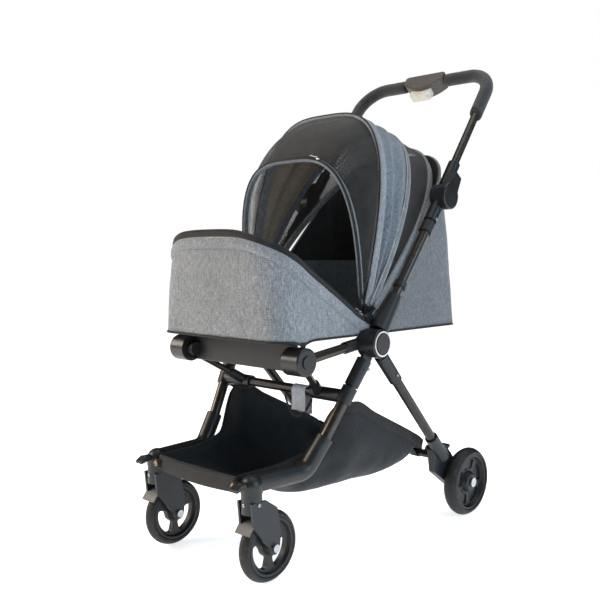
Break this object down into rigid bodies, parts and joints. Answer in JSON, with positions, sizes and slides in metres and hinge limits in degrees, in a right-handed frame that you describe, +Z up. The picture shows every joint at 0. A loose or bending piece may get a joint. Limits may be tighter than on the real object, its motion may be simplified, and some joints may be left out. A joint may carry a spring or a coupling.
{
  "type": "pet stroller",
  "caption": "Folding pet stroller with a padded fabric cabin, ribbed canopy, storage basket, swivel front casters and a U-shaped push handle.",
  "frame": {"origin": "on the floor, in the middle plane, midway between the front and rear wheel axles", "axes": "+Z up, -Y is the way the stroller faces, +X is its left-hand side"},
  "size_m": [0.489, 0.8467, 1.1046],
  "materials": {
    "heather_fabric": "grey melange woven polyester, matt",
    "mesh_fabric": "black open mesh",
    "basket_fabric": "black plain-woven nylon",
    "pad_fabric": "grey padded fabric",
    "black_plastic": "moulded black, fine grain, satin",
    "black_tube": "black anodised tube, satin",
    "rib_plastic": "black moulded strip",
    "board_plastic": "black pressed board",
    "grip_foam": "closed-cell black foam",
    "trigger_plastic": "cream moulded",
    "housing_plastic": "dark brown-black moulded",
    "ring_metal": "polished ring",
    "steel": "zinc-plated",
    "wheel_plastic": "moulded black rim, satin",
    "tyre": "solid foamed tyre, matt"
  },
  "bodies": {
    "frame": {"hub_cores": "black_plastic", "hub_caps": "black_plastic", "hub_rings": "ring_metal", "hub_bolts": "steel", "front_leg_left": "black_tube", "front_leg_right": "black_tube", "leg_sockets": "black_plastic", "front_crossbar": "black_tube", "leg_clamps": "black_plastic", "front_knuckles": "black_plastic", "seat_struts": "black_tube", "seat_rails": "black_tube", "caster_arm_left": "black_plastic", "caster_arm_right": "black_plastic", "basket": "basket_fabric", "front_bucket": "heather_fabric", "rear_bucket": "heather_fabric", "cabin_floor": "board_plastic", "cabin_pad": "pad_fabric", "canopy_hinges": "black_plastic", "rear_rib": "rib_plastic"},
    "leg_rest": {"leg_rest_board": "board_plastic"},
    "rear_frame": {"rear_leg_left": "black_tube", "rear_leg_right": "black_tube", "rear_sockets": "black_plastic", "rear_housing_left": "black_plastic", "rear_housing_right": "black_plastic", "rear_cross_tube": "black_tube", "rear_axles": "steel"},
    "brake": {"brake_bar": "black_plastic"},
    "push_frame": {"push_tube_left": "black_tube", "push_tube_right": "black_tube", "push_boots": "black_plastic", "push_collars": "black_plastic", "lower_knuckles": "black_plastic"},
    "handle": {"upper_knuckles": "black_plastic", "handle_tube": "black_tube", "handle_grips": "grip_foam", "fold_housing": "housing_plastic"},
    "trigger": {"squeeze_trigger": "trigger_plastic"},
    "mid_canopy": {"mid_rib": "rib_plastic", "rear_panel": "mesh_fabric"},
    "front_canopy": {"front_rib": "rib_plastic", "top_panel": "heather_fabric"},
    "canopy_door": {"door_rib": "rib_plastic", "door_panel": "mesh_fabric"},
    "caster_left": {"caster_fork_left": "black_plastic", "front_axle_bolt_left": "steel"},
    "front_wheel_left": {"front_rim_left": "wheel_plastic", "front_tyre_left": "tyre"},
    "rear_wheel_left": {"rear_rim_left": "wheel_plastic", "rear_tyre_left": "tyre"},
    "lever_left": {"swivel_lever_left": "black_plastic"},
    "caster_right": {"caster_fork_right": "black_plastic", "front_axle_bolt_right": "steel"},
    "front_wheel_right": {"front_rim_right": "wheel_plastic", "front_tyre_right": "tyre"},
    "rear_wheel_right": {"rear_rim_right": "wheel_plastic", "rear_tyre_right": "tyre"},
    "lever_right": {"swivel_lever_right": "black_plastic"}
  },
  "joints": [
    {"name": "frame_fold", "type": "hinge", "parent": "frame", "child": "push_frame", "pos_m": [0, -0.05, 0.444], "axis": [1, 0, 0], "range_deg": [0, 115]},
    {"name": "rear_leg_fold", "type": "hinge", "parent": "frame", "child": "rear_frame", "pos_m": [0, -0.05, 0.444], "axis": [1, 0, 0], "range_deg": [-28.75, 0], "deforming": ["basket"]},
    {"name": "handle_fold", "type": "hinge", "parent": "push_frame", "child": "handle", "pos_m": [0, 0.20032, 0.75983], "axis": [1, 0, 0], "range_deg": [-115, 0]},
    {"name": "trigger_squeeze", "type": "slide", "parent": "handle", "child": "trigger", "axis": [0, 0.5934, 0.8049], "range_m": [0, 0.008], "stiffness_N_per_m": 400, "springref_m": -0.004},
    {"name": "leg_rest_tilt", "type": "hinge", "parent": "frame", "child": "leg_rest", "pos_m": [0, -0.24, 0.421], "axis": [1, 0, 0], "range_deg": [-70, 0]},
    {"name": "canopy_extend", "type": "hinge", "parent": "mid_canopy", "child": "front_canopy", "pos_m": [0, -0.04, 0.494], "axis": [1, 0, 0], "range_deg": [-10, 14], "deforming": ["top_panel"]},
    {"name": "canopy_mid", "type": "hinge", "parent": "frame", "child": "mid_canopy", "pos_m": [0, -0.04, 0.494], "axis": [1, 0, 0], "range_deg": [-8, 11.2], "deforming": ["rear_panel"]},
    {"name": "door_swing", "type": "hinge", "parent": "front_canopy", "child": "canopy_door", "pos_m": [0, -0.04, 0.494], "axis": [1, 0, 0], "range_deg": [-11, 15], "deforming": ["door_panel"]},
    {"name": "brake_press", "type": "hinge", "parent": "rear_frame", "child": "brake", "pos_m": [0, 0.244, 0.148], "axis": [1, 0, 0], "range_deg": [-20, 0]},
    {"name": "caster_swivel_left", "type": "hinge", "parent": "frame", "child": "caster_left", "pos_m": [0.146, -0.34, 0.183], "axis": [0, 0, 1], "continuous": true},
    {"name": "front_wheel_spin_left", "type": "hinge", "parent": "caster_left", "child": "front_wheel_left", "pos_m": [0.146, -0.298, 0.07], "axis": [1, 0, 0], "continuous": true},
    {"name": "rear_wheel_spin_left", "type": "hinge", "parent": "rear_frame", "child": "rear_wheel_left", "pos_m": [0.223, 0.298, 0.081], "axis": [1, 0, 0], "continuous": true},
    {"name": "swivel_lock_left", "type": "hinge", "parent": "frame", "child": "lever_left", "pos_m": [0.146, -0.366, 0.201], "axis": [1, 0, 0], "range_deg": [0, 30]},
    {"name": "caster_swivel_right", "type": "hinge", "parent": "frame", "child": "caster_right", "pos_m": [-0.146, -0.34, 0.183], "axis": [0, 0, 1], "continuous": true},
    {"name": "front_wheel_spin_right", "type": "hinge", "parent": "caster_right", "child": "front_wheel_right", "pos_m": [-0.146, -0.298, 0.07], "axis": [1, 0, 0], "continuous": true},
    {"name": "rear_wheel_spin_right", "type": "hinge", "parent": "rear_frame", "child": "rear_wheel_right", "pos_m": [-0.223, 0.298, 0.081], "axis": [1, 0, 0], "continuous": true},
    {"name": "swivel_lock_right", "type": "hinge", "parent": "frame", "child": "lever_right", "pos_m": [-0.146, -0.366, 0.201], "axis": [1, 0, 0], "range_deg": [0, 30]}
  ],
  "couplings": [
    {"joint": "rear_leg_fold", "follows": "frame_fold", "ratio": -0.25},
    {"joint": "handle_fold", "follows": "frame_fold", "ratio": -1},
    {"joint": "canopy_mid", "follows": "canopy_extend", "ratio": 0.8}
  ]
}
